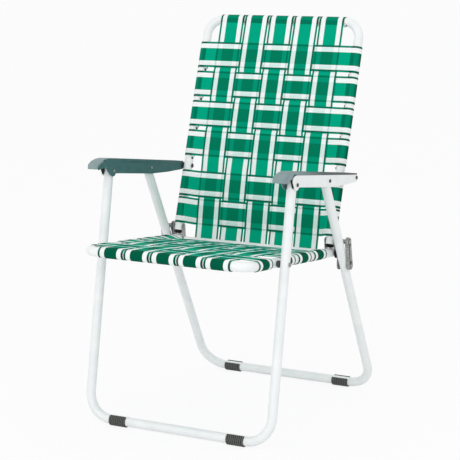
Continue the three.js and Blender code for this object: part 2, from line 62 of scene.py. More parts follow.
GAP, SLACK, PIN_R, PLATE_T, ARM_WALL = 0.3, 0.5, 3.0, 1.8, 2.0
HEAD_T, SLEEVE_R, LINK_END_R, LINK_WAIST, LINK_FLOOR = 2.2, 5.0, 9.8, 9.0, 4.6
HINGE_DISC_R, INNER_HEAD_R, LINK_HEAD_R, REAR_ARM_HEAD_R = 11.0, 5.0, 5.2, 4.0
RIVET_INNER_R, RIVET_OUTER_R, SPACER_R, SEAT_SPACER_R, SHOULDER_R = 3.6, 3.9, 7.0, 7.0, 6.0
FOOT_WALL, FOOT_LENGTH, FOOT_RIBS, FOOT_MOUTH = 2.0, 40.0, 9, 7.5
BORE_DEPTH, SPIGOT_LENGTH, PLUG_STEM_PLAY = 30.0, 16.0, 4.3
ARM_REAR, FRONT_FOOT_Y, REAR_FOOT_Y = (147.5, 509.6), -236.0, 278.7
LINK_ON_LEG, SEAT_PIN_AHEAD = 224.3, 280.155


def heading(degrees):
    a = math.radians(degrees)
    return Vector((math.cos(a), math.sin(a)))


# Pivots in side view, as (y, z)
arm_axis = heading(180 - ARM_SLOPE)
arm_rear = Vector(ARM_REAR)
arm_mid = arm_rear + arm_axis * ARM_MID
arm_front = arm_rear + arm_axis * ARM_FRONT
back_axis = heading(90 - BACK_LEAN)
back_front = Vector((-back_axis.y, back_axis.x))
link_top = arm_rear - back_axis * LINK_BELOW
back_reach = LINK_BELOW + BACK_ABOVE
seat_hinge = link_top + heading(HINGE_TILT - 90) * HINGE_LENGTH
seat_axis = heading(180 - SEAT_SLOPE)
seat_up = Vector((seat_axis.y, -seat_axis.x))
front_foot = Vector((FRONT_FOOT_Y, TUBE_R + FOOT_WALL))
rear_foot = Vector((REAR_FOOT_Y, TUBE_R + FOOT_WALL))
front_leg = (arm_front - front_foot).normalized()
rear_leg = (arm_mid - rear_foot).normalized()
link_foot = arm_mid - rear_leg * LINK_ON_LEG
seat_pivot = seat_hinge + seat_axis * SEAT_PIN_AHEAD
lane = TUBE_R + GAP + WEB_T / 2
weave = (WEB_T + GAP) / 2


# Node helpers for the materials
class Shader:
    def __init__(self, name):
        self.material = bpy.data.materials.new(name)
        self.material.use_nodes = True
        self.tree = self.material.node_tree
        self.base = self.tree.nodes["Principled BSDF"]

    def node(self, kind, **values):
        made = self.tree.nodes.new(kind)
        for key, value in values.items():
            setattr(made, key, value)
        return made

    def link(self, out, socket):
        self.tree.links.new(out, socket)

    def math(self, operation, a, b=None):
        made = self.node("ShaderNodeMath", operation=operation)
        for i, value in enumerate(v for v in (a, b) if v is not None):
            if isinstance(value, (int, float)):
                made.inputs[i].default_value = value
            else:
                self.link(value, made.inputs[i])
        return made.outputs[0]

    def ramp(self, factor, stops, kind="LINEAR"):
        made = self.node("ShaderNodeValToRGB")
        made.color_ramp.interpolation = kind
        elements = made.color_ramp.elements
        while len(elements) < len(stops):
            elements.new(0.5)
        for element, (place, colour) in zip(elements, stops):
            element.position = place
            element.color = (*colour, 1)
        self.link(factor, made.inputs[0])
        return made.outputs[0]

    def mix(self, factor, a, b, kind="MIX"):
        made = self.node("ShaderNodeMix", data_type="RGBA", blend_type=kind)
        for socket, value in ((made.inputs[0], factor), (made.inputs[6], a), (made.inputs[7], b)):
            if isinstance(value, (int, float)):
                socket.default_value = value
            elif isinstance(value, tuple):
                socket.default_value = (*value, 1)
            else:
                self.link(value, socket)
        return made.outputs[2]

    def noise(self, scale, detail=2.0, stretch=(1, 1, 1)):
        place = self.node("ShaderNodeTexCoord")
        mapping = self.node("ShaderNodeMapping")
        mapping.inputs["Scale"].default_value = stretch
        self.link(place.outputs["Object"], mapping.inputs[0])
        made = self.node("ShaderNodeTexNoise")
        made.inputs["Scale"].default_value = scale
        made.inputs["Detail"].default_value = detail
        self.link(mapping.outputs[0], made.inputs["Vector"])
        return made.outputs["Fac"]

    def bump(self, height, distance, strength=1.0):
        made = self.node("ShaderNodeBump")
        made.inputs["Strength"].default_value = strength
        made.inputs["Distance"].default_value = distance
        self.link(height, made.inputs["Height"])
        self.link(made.outputs[0], self.base.inputs["Normal"])

    def set(self, **values):
        for key, value in values.items():
            self.base.inputs[key.replace("_", " ")].default_value = value


def linear(r, g, b):
    def one(c):
        c /= 255
        return c / 12.92 if c <= 0.04045 else ((c + 0.055) / 1.055) ** 2.4
    return (one(r), one(g), one(b))


def powder_coat():
    s = Shader("white_powder_coat")
    s.set(IOR=1.5, Coat_Weight=0.15, Coat_Roughness=0.2)
    patch = s.noise(26, 3)
    colour = s.ramp(patch, [(0.3, linear(233, 237, 238)), (0.7, linear(243, 245, 245))])
    s.link(colour, s.base.inputs["Base Color"])
    s.link(s.ramp(patch, [(0.3, (0.3,) * 3), (0.7, (0.42,) * 3)]), s.base.inputs["Roughness"])
    s.bump(s.noise(750, 2), 0.00006, 0.5)
    return s.material


# Where the armrest is painted as lit, in metres: its outer faces, its nose, and how the painted top light
# darkens to the rear as painted shade
OUTER_FACES, NOSE_START, Y_SHIFT, TOP_SHADE_RAMP = 0.2285, -0.186, 0.5, (0.35, 0.48)


# Armrest moulding with painted light and shade: faces turned to the sides or down take the grey-teal painted
# darker as shade, while faces turned up or forward, the outer faces and the nose take a lighter grey as
# painted light, which darkens towards the rear of the top as painted shade
def grey_moulding(name, side_dark, side_light):
    s = Shader(name)
    s.set(IOR=1.48, Specular_IOR_Level=0.3)
    patch = s.noise(60, 4)
    sides = s.ramp(patch, [(0.3, side_dark), (0.7, side_light)])
    nose = s.ramp(patch, [(0.3, linear(126, 145, 147)), (0.7, linear(138, 158, 160))])
    top = s.ramp(patch, [(0.3, linear(74, 83, 85)), (0.7, linear(86, 96, 98))])
    place = s.node("ShaderNodeTexCoord")
    facing, spot = s.node("ShaderNodeSeparateXYZ"), s.node("ShaderNodeSeparateXYZ")
    s.link(place.outputs["Normal"], facing.inputs[0])
    s.link(place.outputs["Object"], spot.inputs[0])
    open_side = s.math("MAXIMUM", facing.outputs[2], s.math("MULTIPLY", facing.outputs[1], -1.0))
    upward = s.ramp(open_side, [(0.1, (0, 0, 0)), (0.5, (1, 1, 1))])
    outside = s.math("GREATER_THAN", s.math("ABSOLUTE", spot.outputs[0]), OUTER_FACES)
    along = s.math("ADD", spot.outputs[1], Y_SHIFT)
    rearward = s.ramp(along, [(TOP_SHADE_RAMP[0], (0, 0, 0)), (TOP_SHADE_RAMP[1], (1, 1, 1))])
    lit_tone = s.mix(rearward, nose, top)
    on_nose = s.math("LESS_THAN", spot.outputs[1], NOSE_START)
    # Painted light: the lighter grey goes where a face turns up or forward, faces outward or lies on the
    # nose; elsewhere the darker side colour is painted shade
    painted_lit = s.math("MAXIMUM", s.math("MAXIMUM", upward, outside), on_nose)
    s.link(s.mix(painted_lit, sides, lit_tone), s.base.inputs["Base Color"])
    s.link(s.ramp(patch, [(0.3, (0.42,) * 3), (0.7, (0.56,) * 3)]), s.base.inputs["Roughness"])
    s.bump(s.noise(1400, 3), 0.00012, 0.6)
    return s.material


def plated_steel(name, dark, light, rough, metallic):
    s = Shader(name)
    s.set(Metallic=metallic)
    streak = s.noise(160, 4, (1, 1, 5))
    s.link(s.ramp(streak, [(0.3, dark), (0.72, light)]), s.base.inputs["Base Color"])
    s.link(s.ramp(streak, [(0.3, (rough,) * 3), (0.7, (rough + 0.16,) * 3)]), s.base.inputs["Roughness"])
    s.bump(s.noise(900, 3, (1, 1, 4)), 0.00005, 0.4)
    return s.material


def dark_plastic(name, dark, light):
    s = Shader(name)
    s.set(Specular_IOR_Level=0.12)
    patch = s.noise(90, 3)
    s.link(s.ramp(patch, [(0.3, dark), (0.7, light)]), s.base.inputs["Base Color"])
    s.link(s.ramp(patch, [(0.3, (0.4,) * 3), (0.7, (0.55,) * 3)]), s.base.inputs["Roughness"])
    s.bump(s.noise(1200, 2), 0.00008, 0.5)
    return s.material


def foot_rubber(name, dark, light):
    s = Shader(name)
    patch = s.noise(140, 4)
    s.link(s.ramp(patch, [(0.3, dark), (0.7, light)]), s.base.inputs["Base Color"])
    s.link(s.ramp(patch, [(0.3, (0.62,) * 3), (0.7, (0.8,) * 3)]), s.base.inputs["Roughness"])
    s.bump(s.noise(1600, 3), 0.00012, 0.6)
    return s.material


# What lies behind a stretch of strap, stored in its second UV layer, which picks the strap's painted light
# and shade below
OPEN_LENGTH, ON_BACK_TUBE, ON_SEAT_TUBE, BACK_CROSSED, SEAT_CROSSED = 0.0, 0.4, 0.6, 1.0, 1.4

# Striped webbing: shares of the width taken by the rim, edge and white bands,
# and the rim, edge, white and green colours by what lies behind. The stripes are the strap's own print; the
# sets are painted light and shade: lit through from behind on open lengths, painted darker where another
# strap or a back tube lies behind, painted shade on the seat's tubes and where the strap turns away round a
# tube
RIM_BAND, EDGE, BAND = 1.8 / WEB_W, 4.6 / WEB_W, 10.8 / WEB_W
OPEN = (linear(0, 176, 146), linear(0, 120, 93), linear(247, 252, 251), linear(0, 168, 132))
BACKED = (linear(0, 140, 110), linear(0, 108, 84), linear(249, 251, 251), linear(0, 150, 117))
DOUBLED = (linear(0, 140, 110), linear(0, 102, 77), linear(222, 243, 239), linear(0, 125, 93))
COVERED = (linear(0, 108, 82), linear(0, 108, 82), linear(248, 251, 251), linear(0, 138, 106))
SEAT_BACKED = (linear(0, 140, 110), linear(0, 106, 82), linear(230, 252, 249), linear(0, 142, 111))
SEAT_DOUBLED = (linear(0, 130, 104), linear(0, 94, 73), linear(122, 226, 210), linear(0, 110, 83))
WRAPPED = (linear(0, 150, 122), linear(0, 104, 80), linear(248, 251, 251), linear(0, 94, 67))
TURNED_AWAY = (linear(0, 84, 62), linear(0, 80, 60), linear(244, 249, 248), linear(0, 92, 68))
ROUND_TUBE = (0.36, 0.66)
RIB_PITCH, YARN_PITCH, PLY_PITCH = 1.5, 1.1, 3.3


def striped(s, across, colours):
    rim, edge, white, green = colours
    stops = [(0, rim), (RIM_BAND, edge), (EDGE, white), (EDGE + BAND, green)]
    stops += [(1 - EDGE - BAND, white), (1 - EDGE, edge), (1 - RIM_BAND, rim)]
    return s.ramp(across, stops, "CONSTANT")


def webbing():
    s = Shader("striped_webbing")
    s.set(Roughness=0.6, IOR=1.45, Specular_IOR_Level=0.02)
    strip = s.node("ShaderNodeUVMap", uv_map="strip")
    behind = s.node("ShaderNodeUVMap", uv_map="behind")
    own = s.node("ShaderNodeSeparateXYZ")
    other = s.node("ShaderNodeSeparateXYZ")
    s.link(strip.outputs[0], own.inputs[0])
    s.link(behind.outputs[0], other.inputs[0])
    across, along = own.outputs[0], own.outputs[1]
    # Painted light and shade: the colour set is picked by what lies behind, standing for light shining
    # through the strap or shade where that light is blocked
    green_behind = striped(s, other.outputs[0], ((1, 1, 1), (1, 1, 1), (0, 0, 0), (1, 1, 1)))
    crossed = s.math("GREATER_THAN", other.outputs[1], (ON_SEAT_TUBE + BACK_CROSSED) / 2)
    wrapped = s.math("GREATER_THAN", other.outputs[1], (ON_BACK_TUBE + ON_SEAT_TUBE) / 2)
    covered = s.math("GREATER_THAN", other.outputs[1], (OPEN_LENGTH + ON_BACK_TUBE) / 2)
    on_seat = s.math("GREATER_THAN", other.outputs[1], (BACK_CROSSED + SEAT_CROSSED) / 2)
    backed = s.mix(on_seat, striped(s, across, BACKED), striped(s, across, SEAT_BACKED))
    doubled = s.mix(on_seat, striped(s, across, DOUBLED), striped(s, across, SEAT_DOUBLED))
    doubled = s.mix(green_behind, backed, doubled)
    # Painted shade of the edge lines of the strap behind, seen through this one
    edge_shade_behind = striped(s, other.outputs[0], ((1, 1, 1), (0.78, 0.86, 0.84), (1, 1, 1), (1, 1, 1)))
    doubled = s.mix(1.0, doubled, edge_shade_behind, "MULTIPLY")
    on_tube = s.mix(wrapped, striped(s, across, COVERED), striped(s, across, WRAPPED))
    # Painted shade where the strap turns away round a tube
    round_tube = s.ramp(other.outputs[0], [(ROUND_TUBE[0], (0, 0, 0)), (ROUND_TUBE[1], (1, 1, 1))])
    on_tube = s.mix(round_tube, on_tube, striped(s, across, TURNED_AWAY))
    lying = s.mix(crossed, on_tube, doubled)
    colour = s.mix(covered, striped(s, across, OPEN), lying)
    rib = s.math("SINE", s.math("MULTIPLY", along, 2 * math.pi * WEB_W / RIB_PITCH))
    yarn = s.math("SINE", s.math("MULTIPLY", across, 2 * math.pi * WEB_W / YARN_PITCH))
    ply = s.math("SINE", s.math("MULTIPLY", across, 2 * math.pi * WEB_W / PLY_PITCH))
    cloth = s.math("ADD", s.math("MULTIPLY", rib, 0.35), s.math("MULTIPLY", yarn, 0.2))
    lines = s.math("ADD", s.math("MULTIPLY", cloth, 0.12), s.math("MULTIPLY", ply, 0.26))
    shade = s.math("ADD", lines, s.math("MULTIPLY", s.noise(45, 3), 0.16))
    tone = s.ramp(s.math("ADD", shade, 0.45), [(0, (0.8,) * 3), (1, (1.12,) * 3)])
    toned = s.mix(1.0, colour, tone, "MULTIPLY")
    s.link(toned, s.base.inputs["Base Color"])
    s.bump(cloth, 0.00025, 0.7)
    return s.material


WHITE = powder_coat()
# The grey moulding's side colours are painted shade; the next one is a copy with lighter side colours,
# painted light, for the outer wall of the nose
MOULDING = grey_moulding("grey_moulding", linear(64, 104, 105), linear(74, 116, 117))
LIT_MOULDING = grey_moulding("painted_lit_moulding", linear(104, 119, 122), linear(116, 131, 134))
ZINC = plated_steel("zinc_plate", linear(112, 115, 113), linear(182, 184, 181), 0.28, 0.5)
RIVET = plated_steel("dark_rivet", linear(52, 55, 56), linear(92, 95, 96), 0.32, 0.9)
RUBBER = foot_rubber("foot_rubber", linear(74, 76, 74), linear(96, 98, 95))
# Near-black rubber as painted shade in the feet's grooves
GROOVE_SHADE = foot_rubber("foot_groove_shade", linear(12, 13, 12), linear(20, 21, 20))
BLACK = dark_plastic("black_plastic", (0.006,) * 3, (0.013,) * 3)
SKIRT = dark_plastic("shaded_skirt", linear(64, 104, 105), linear(74, 116, 117))
SHADED = dark_plastic("shaded_moulding", linear(24, 33, 33), linear(36, 47, 47))
WEB = webbing()


# Mesh helpers
def piece(name, points, faces, material, sharp=35):
    mesh = bpy.data.meshes.new(name)
    mesh.from_pydata([tuple(c * MM for c in p) for p in points], [], faces)
    mesh.materials.append(material)
    mesh.shade_smooth()
    mesh.set_sharp_from_angle(angle=math.radians(sharp))
    obj = bpy.data.objects.new(name, mesh)
    scene.collection.objects.link(obj)
    return obj


def rings_to_faces(count, size, closed=True):
    faces = []
    for i in range(count - 1):
        for j in range(size if closed else size - 1):
            k = (j + 1) % size
            faces.append((i * size + j, i * size + k, (i + 1) * size + k, (i + 1) * size + j))
    return faces


def in_space(x, p):
    return Vector((x, p.x, p.y))


SIDES = (("left_", 1), ("right_", -1))


def stand_for(obj, body, *nodes):
    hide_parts(*nodes)
    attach(obj, body)


# Bent tubes
def bent_path(corners, bend, steps=18):
    stations = []
    legs = [(b - a).normalized() for a, b in zip(corners, corners[1:])]
    stations.append((corners[0], legs[0]))
    for i in range(1, len(corners) - 1):
        into, out = legs[i - 1], legs[i]
        turn = into.angle(out)
        start = corners[i] - into * (bend * math.tan(turn / 2))
        side = (out - into * out.dot(into)).normalized()
        for k in range(steps + 1):
            a = turn * k / steps
            point = start + into * (bend * math.sin(a)) + side * (bend * (1 - math.cos(a)))
            stations.append((point, into * math.cos(a) + side * math.sin(a)))
    stations.append((corners[-1], legs[-1]))
    return stations


def tube(name, corners, bend, radius, body, sides=40):
    stations = bent_path(corners, bend)
    start, end = stations[0], stations[-1]
    plane = start[1].cross(stations[len(stations) // 2][1])
    plane = plane.normalized() if plane.length > 1e-6 else Vector((0, 0, 1))
    bore = radius - TUBE_WALL
    rings = [(start[0] + start[1] * BORE_DEPTH, start[1], bore), (start[0], start[1], bore)]
    rings += [(p, t, radius) for p, t in stations]
    rings += [(end[0], end[1], bore), (end[0] - end[1] * BORE_DEPTH, end[1], bore)]
    points = []
    for p, t, r in rings:
        side = t.cross(plane).normalized()
        for k in range(sides):
            a = 2 * math.pi * k / sides
            points.append(p + plane * (r * math.cos(a)) + side * (r * math.sin(a)))
    obj = piece(name + "_tube", points, rings_to_faces(len(rings), sides), WHITE, 50)
    stand_for(obj, body, name)


def u_frame(name, end, bar, half, bend, body):
    corners = [in_space(half, end), in_space(half, bar), in_space(-half, bar), in_space(-half, end)]
    tube(name, corners, bend, TUBE_R, body)


u_frame("front_leg_frame", arm_front + front_leg * LEG_TOP, front_foot, LEG_X, LEG_BEND, "front_legs")
u_frame("rear_leg_frame", arm_mid + rear_leg * LEG_TOP, rear_foot, LEG_X, LEG_BEND, "rear_legs")
back_low = link_top - back_axis * BACK_END
back_top = link_top + back_axis * back_reach
seat_tail = seat_hinge - seat_axis * SEAT_TAIL
seat_front = seat_hinge + seat_axis * SEAT_DEPTH
u_frame("back_frame", back_low, back_top, FRAME_X, FRAME_BEND, "back")
u_frame("seat_frame", seat_tail, seat_front, FRAME_X, SEAT_BEND, "seat")
frame_in, frame_out = FRAME_X - TUBE_R, FRAME_X + TUBE_R
leg_in, leg_out = LEG_X - TUBE_R, LEG_X + TUBE_R
arm_in, arm_out = leg_in - SLACK - ARM_WALL, leg_out + SLACK + ARM_WALL
link_in, link_out = leg_in - SLACK - PLATE_T, leg_out + SLACK + PLATE_T
hinge_in, hinge_out = frame_in - GAP - PLATE_T, frame_out + GAP + PLATE_T
bar_end = hinge_in - 2 * GAP
tube("seat_crossbar", [in_space(x, seat_hinge) for x in (bar_end, -bar_end)], 0, BAR_R, "seat")


# Straps: a line of stations in a frame's plane, each stretch with what lies behind it, swept across the width
ACROSS = (-0.5, -0.493, -0.25, 0.0, 0.25, 0.493, 0.5)
SECTION = [(0, 0)] + [(k, 0.5) for k in range(1, 6)] + [(6, 0)] + [(k, -0.5) for k in range(5, 0, -1)]
FULL_TURN, LEAD, LAP_TURN, LAP_GAP, BEND_FROM, BEND_TO = 125.0, 4.0, 30.0, 0.15, 7.0, 20.0
DROP_STEPS = 9


class Line:
    def __init__(self):
        self.points, self.covers = [], []

    def add(self, point, cover=OPEN_LENGTH, crossing=(0.5, 0.5)):
        if self.points:
            self.covers.append((cover, crossing))
        self.points.append(Vector(point))

    def turn(self, centre, radius, first, last, cover, front, steps=32):
        rounds = []
        for k in range(steps + 1):
            angle = first + (last - first) * k / steps
            rounds.append(min(abs(angle - front) / FULL_TURN, 1.0))
            self.add(Vector(centre) + heading(angle) * radius, cover, (rounds[max(k - 1, 0)], rounds[k]))

    def ease(self, x, level, sag, tube_cover=OPEN_LENGTH, steps=8):
        start = self.points[-1].copy()
        lift = start.y + sag(start.x)
        for k in range(1, steps + 1):
            t = k / steps
            place = start.x + (x - start.x) * t
            middle = abs(place - (x - start.x) * 0.5 / steps)
            cover = tube_cover if middle > FRAME_X - TUBE_R else OPEN_LENGTH
            self.add((place, lift + (level - lift) * t * t * (3 - 2 * t) - sag(place)), cover)

    def cross(self, x0, x1, level, sag, cover, steps=8):
        for k in range(1, steps + 1):
            share = (k - 1) / steps, k / steps
            place = x0 + (x1 - x0) * share[1]
            self.add((place, level - sag(place)), cover, share)


def strap(name, lines, place):
    points, lengths = [], [0.0]
    spine = lines[len(lines) // 2]
    for a, b in zip(spine.points, spine.points[1:]):
        lengths.append(lengths[-1] + (b - a).length)
    size, count = len(SECTION), len(spine.points)
    for i in range(count):
        sides = []
        for line in lines:
            before = line.points[i] - line.points[max(i - 1, 0)]
            after = line.points[min(i + 1, count - 1)] - line.points[i]
            way = (before.normalized() + after.normalized()).normalized()
            sides.append(Vector((-way.y, way.x)) * WEB_T)
        for k, high in SECTION:
            points.append(place(lines[k].points[i] + sides[k] * high, ACROSS[k] * WEB_W))
    faces = rings_to_faces(count, size)
    faces += [tuple(range(size))[::-1], tuple(range((count - 1) * size, count * size))]
    obj = piece(name, points, faces, WEB, 60)
    strip = obj.data.uv_layers.new(name="strip")
    behind = obj.data.uv_layers.new(name="behind")
    for face in obj.data.polygons:
        rows = [obj.data.loops[k].vertex_index // size for k in face.loop_indices]
        low = min(min(rows), count - 2)
        cover, share = spine.covers[low]
        for k, row in zip(face.loop_indices, rows):
            across = ACROSS[SECTION[obj.data.loops[k].vertex_index % size][0]] + 0.5
            strip.data[k].uv = (min(max(across, 0.001), 0.999), lengths[row] / WEB_W)
            behind.data[k].uv = (share[1] if row > low else share[0], cover)
    return obj, lengths[-1]


def leaving(centre, radius, target, side):
    away = Vector(target) - Vector(centre)
    return math.degrees(math.atan2(away.y, away.x) + side * math.acos(radius / away.length))


columns = [(k - (COLUMNS - 1) / 2) * WEB_PITCH for k in range(COLUMNS)]
over = lambda row, column: (row + column) % 2 == 0
half_web = WEB_W / 2
back_sag = lambda reach: BACK_SAG * min(max(1 - reach / back_reach, 0), 1) ** SAG_POWER
seat_sag = lambda reach: SEAT_SAG * min(max(1 - reach / SEAT_DEPTH, 0), 1) ** SAG_POWER


def cross_line(row, sag, cover, crossed):
    flat = lambda x: sag
    line = Line()
    level = lambda k: lane + (weave if over(row, k) else -weave)
    first, last = columns[0] - half_web, columns[-1] + half_web
    off = leaving((-FRAME_X, 0), lane, (first - LEAD, level(0) - sag), 1)
    line.turn((-FRAME_X, 0), lane, 90 + WEB_TURN, off, cover, off)
    line.ease(first, level(0), flat, cover)
    for k, x in enumerate(columns):
        if k:
            line.ease(x - half_web, level(k), flat)
        line.cross(x - half_web, x + half_web, level(k), flat, crossed)
    on = leaving((FRAME_X, 0), lane, (last + LEAD, level(COLUMNS - 1) - sag), -1) % 360
    meet = Vector((FRAME_X, 0)) + heading(on) * lane
    line.ease(meet.x, meet.y + sag, flat, cover)
    line.turn((FRAME_X, 0), lane, on, 90 - WEB_TURN, cover, on)
    return line


def cross_strap(name, row, reach, origin, axis, normal, sag, body):
    covers = (ON_BACK_TUBE, BACK_CROSSED) if body == "back" else (ON_SEAT_TUBE, SEAT_CROSSED)
    lines = [cross_line(row, sag(reach + a * WEB_W), *covers) for a in ACROSS]

    def place(p, across):
        q = origin + axis * (reach + across) + normal * p.y
        return in_space(p.x, q)

    obj, length = strap(name + "_web", lines, place)
    stand_for(obj, body, name)


for i, reach in enumerate(BACK_ROWS):
    name = "back_cross_strap_%d" % (i + 1)
    cross_strap(name, i, reach, link_top, back_axis, back_front, back_sag, "back")
for j, reach in enumerate(SEAT_ROWS):
    name = "seat_cross_strap_%d" % (j + 1)
    cross_strap(name, j, reach, seat_hinge, seat_axis, seat_up, seat_sag, "seat")

# Where the lengthwise straps pass the crossbar, in the back's own plane
bar_in_back = Vector(((seat_hinge - link_top).dot(back_axis), (seat_hinge - link_top).dot(back_front)))
bar_lane = BAR_R + GAP + WEB_T / 2
lap_lane = bar_lane + WEB_T + LAP_GAP


def back_length(column):
    line = Line()
    line.turn((back_reach, 0), lane, 90 - WEB_TURN, 90, ON_BACK_TUBE, 90)
    line.add((back_reach - TUBE_R, lane), ON_BACK_TUBE)
    for i, reach in enumerate(BACK_ROWS):
        level = lane + (-weave if over(i, column) else weave)
        line.ease(reach + half_web, level, back_sag)
        line.cross(reach + half_web, reach - half_web, level, back_sag, BACK_CROSSED)
    start = line.points[-1].copy()
    first = leaving(bar_in_back, lap_lane, start, -1)
    meet = bar_in_back + heading(first) * lap_lane
    for k in range(1, DROP_STEPS):
        line.add(start.lerp(meet, k / DROP_STEPS))
    line.turn(bar_in_back, lap_lane, first, first - LAP_TURN, OPEN_LENGTH, first, 5)
    return line, first


def seat_length(column, first):
    line = Line()
    entry = SEAT_ROWS[-1] - half_web - LEAD
    last = leaving((0, 0), bar_lane, (entry, lane - seat_sag(entry)), -1) + 360
    line.turn((0, 0), bar_lane, first, last, OPEN_LENGTH, last, 14)
    for j in range(len(SEAT_ROWS) - 1, -1, -1):
        level = lane + (-weave if over(j, column) else weave)
        line.ease(SEAT_ROWS[j] - half_web, level, seat_sag)
        line.cross(SEAT_ROWS[j] - half_web, SEAT_ROWS[j] + half_web, level, seat_sag, SEAT_CROSSED)
    line.ease(SEAT_DEPTH - TUBE_R, lane, seat_sag)
    line.turn((SEAT_DEPTH, 0), lane, 90, 90 - WEB_TURN, ON_SEAT_TUBE, 90)
    return line


for k, x in enumerate(columns):
    on_back = lambda p, across: in_space(x + across, link_top + back_axis * p.x + back_front * p.y)
    on_seat = lambda p, across: in_space(x + across, seat_hinge + seat_axis * p.x + seat_up * p.y)
    line, first = back_length(k)
    name = "length_strap_%d" % (k + 1)
    obj, length = strap("back_" + name + "_web", [line] * len(ACROSS), on_back)
    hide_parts("back_" + name)
    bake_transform(obj)
    turned = back_axis * math.cos(math.radians(first)) + back_front * math.sin(math.radians(first))
    seat_first = math.degrees(math.atan2(turned.dot(seat_up), turned.dot(seat_axis))) % 360
    obj, length = strap("seat_" + name + "_web", [seat_length(k, seat_first)] * len(ACROSS), on_seat)
    stand_for(obj, "seat", "seat_" + name)


# Turned pins, rivets and plugs
def lathe(name, profile, origin, axis, material, body, node, sides=32, plain_rows=0):
    side = axis.orthogonal().normalized()
    third = axis.cross(side)
    points = []
    for d, r in profile:
        for k in range(sides):
            a = 2 * math.pi * k / sides
            spread = side * math.cos(a) + third * math.sin(a)
            points.append(origin + axis * d + spread * max(r, 0.01))
    faces = rings_to_faces(len(profile), sides)
    faces += [tuple(range(sides))[::-1], tuple(range((len(profile) - 1) * sides, len(profile) * sides))]
    obj = piece(name, points, faces, material, 40)
    if plain_rows:
        obj.data.materials.append(ZINC)
        for face in obj.data.polygons:
            if max(face.vertices) < plain_rows * sides:
                face.material_index = 1
    if node:
        stand_for(obj, body, node)
    else:
        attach(obj, body)


def dome(x, r, way):
    steps = [(0, 1), (0.35, 1), (0.6, 0.93), (0.82, 0.76), (0.95, 0.5), (1, 0.2)]
    rows = [(x + way * HEAD_T * h, r * s) for h, s in steps]
    return rows if way > 0 else rows[::-1]


outer_head = lambda x, r: [(x + GAP, PIN_R)] + dome(x + GAP, r, 1)
inner_head = lambda x, r: dome(x - GAP, r, -1) + [(x - GAP, PIN_R)]
COLLAR_EDGE = 0.4


def collar(x0, x1, r):
    low = r - COLLAR_EDGE
    return [(x0, PIN_R), (x0, low), (x0 + COLLAR_EDGE, r), (x1 - COLLAR_EDGE, r), (x1, low), (x1, PIN_R)]


def pins(name, profile, centre, material, body, plain_rows=0):
    for side, way in SIDES:
        across = Vector((way, 0, 0))
        lathe(side + name + "_turned", profile, in_space(0, centre), across, material, body,
              side + name, plain_rows=plain_rows)


sleeve_in, sleeve_out = leg_in - SLACK + GAP, leg_out + SLACK - GAP
web_out = FRAME_X + TUBE_R + GAP + WEB_T
sleeve = lambda r: collar(sleeve_in, sleeve_out, r)
link_head = outer_head(link_out + LINK_FLOOR, LINK_HEAD_R)
spigot = BAR_R - TUBE_WALL - GAP
arm_rivet = inner_head(arm_in, RIVET_INNER_R) + outer_head(arm_out, RIVET_OUTER_R)
arm_pin = inner_head(frame_in, INNER_HEAD_R) + collar(web_out + GAP, arm_in - GAP, SPACER_R)
arm_pin += sleeve(SHOULDER_R) + outer_head(arm_out, REAR_ARM_HEAD_R)
link_pin = inner_head(hinge_in, INNER_HEAD_R) + collar(hinge_out + GAP, link_in - GAP, SHOULDER_R)
link_pin += sleeve(SLEEVE_R) + link_head
hinge_pin = [(bar_end - SPIGOT_LENGTH, spigot), (hinge_in - GAP, spigot), (hinge_in - GAP, PIN_R)]
hinge_pin += collar(hinge_out + GAP, link_in - GAP, HINGE_DISC_R)[:5]
seat_pin = inner_head(frame_in, INNER_HEAD_R) + collar(frame_out + GAP, leg_in - GAP, SEAT_SPACER_R)[:5]
PLAIN_ROWS = 7
pins("front_arm_rivet", arm_rivet, arm_front, RIVET, "arms", PLAIN_ROWS)
pins("middle_arm_rivet", arm_rivet, arm_mid, RIVET, "arms", PLAIN_ROWS)
pins("rear_arm_pin", arm_pin, arm_rear, RIVET, "back")
pins("link_pin", link_pin, link_top, ZINC, "back")
pins("link_leg_rivet", [(leg_out + GAP, PIN_R)] + link_head, link_foot, ZINC, "lock_links")
pins("hinge_pin", hinge_pin, seat_hinge, BLACK, "seat")
pins("seat_leg_pin", seat_pin, seat_pivot, RIVET, "seat")


PLUG_INSET, PLUG_EDGE, CROWN_SHARES = 0.2, 0.4, (0.05, 0.3, 0.55, 0.75, 0.9, 0.97)


def end_plug(name, end, inward, stem, thick, crown, body):
    rim, bore = TUBE_R - PLUG_INSET, TUBE_R - TUBE_WALL - GAP
    profile = [(-thick - crown * (1 - share * share), rim * share) for share in CROWN_SHARES]
    profile += [(PLUG_EDGE - thick, rim), (-GAP, rim), (-GAP, bore), (stem, bore)]
    for side, way in SIDES:
        lathe(side + name + "_cap", profile, in_space(way * FRAME_X, end), in_space(0, inward),
              BLACK, body, side + name)


end_plug("back_end_plug", back_low, back_axis, BACK_END - PLUG_STEM_PLAY, thick=4.4, crown=3.2, body="back")
end_plug("seat_end_plug", seat_tail, seat_axis, SEAT_TAIL - PLUG_STEM_PLAY, thick=2.0, crown=0.5, body="seat")


# Snap-on feet: ribbed sleeve, open along the top, flat underneath, with painted shade in the grooves between
# ribs
FOOT_RIB = ((0.1, 0.45), (0.2, 0.1), (0.32, 0), (0.68, 0), (0.8, 0.1), (0.9, 0.45))
FOOT_PLAY, FOOT_RIB_HEIGHT, FOOT_END_DROP, FOOT_LIP, SOLE = 0.35, 0.42, 0.9, 0.3, 0.02
FRONT_FOOT_TURN, REAR_FOOT_TURN = -16, 10


